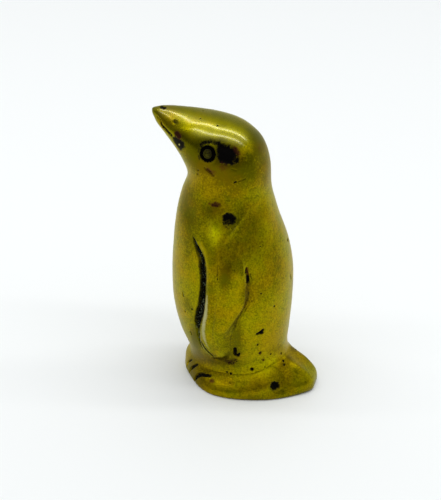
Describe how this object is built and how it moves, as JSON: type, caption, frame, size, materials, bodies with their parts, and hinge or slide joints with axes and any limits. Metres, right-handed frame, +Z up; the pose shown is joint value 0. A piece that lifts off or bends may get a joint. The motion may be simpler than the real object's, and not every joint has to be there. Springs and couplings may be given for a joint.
{
  "type": "penguin figurine",
  "caption": "Hollow cast brass penguin standing on its joined feet and broad tail, bill forward, flippers carved in low relief, ringed eyes and a plate let into the underside.",
  "frame": {"origin": "on the standing face, under the middle of the box around the figurine", "axes": "+Z up; the bird faces -Y, its tail points to +Y and its left side is +X"},
  "size_m": [0.03, 0.0445, 0.0709],
  "materials": {
    "cast_brass": "cast and hand filed, satin on the body and polished on the head, darkened in the grooves",
    "pin_brass": "satin, darkened with age",
    "plate_brass": "flat filed"
  },
  "bodies": {
    "root": {"left_casting": "cast_brass", "right_casting": "cast_brass", "base_plate": "plate_brass", "left_eye_pin": "pin_brass", "right_eye_pin": "pin_brass", "bill_pin": "pin_brass", "crown_pin": "pin_brass", "foot_pin": "pin_brass", "tail_pin": "pin_brass"}
  },
  "joints": []
}
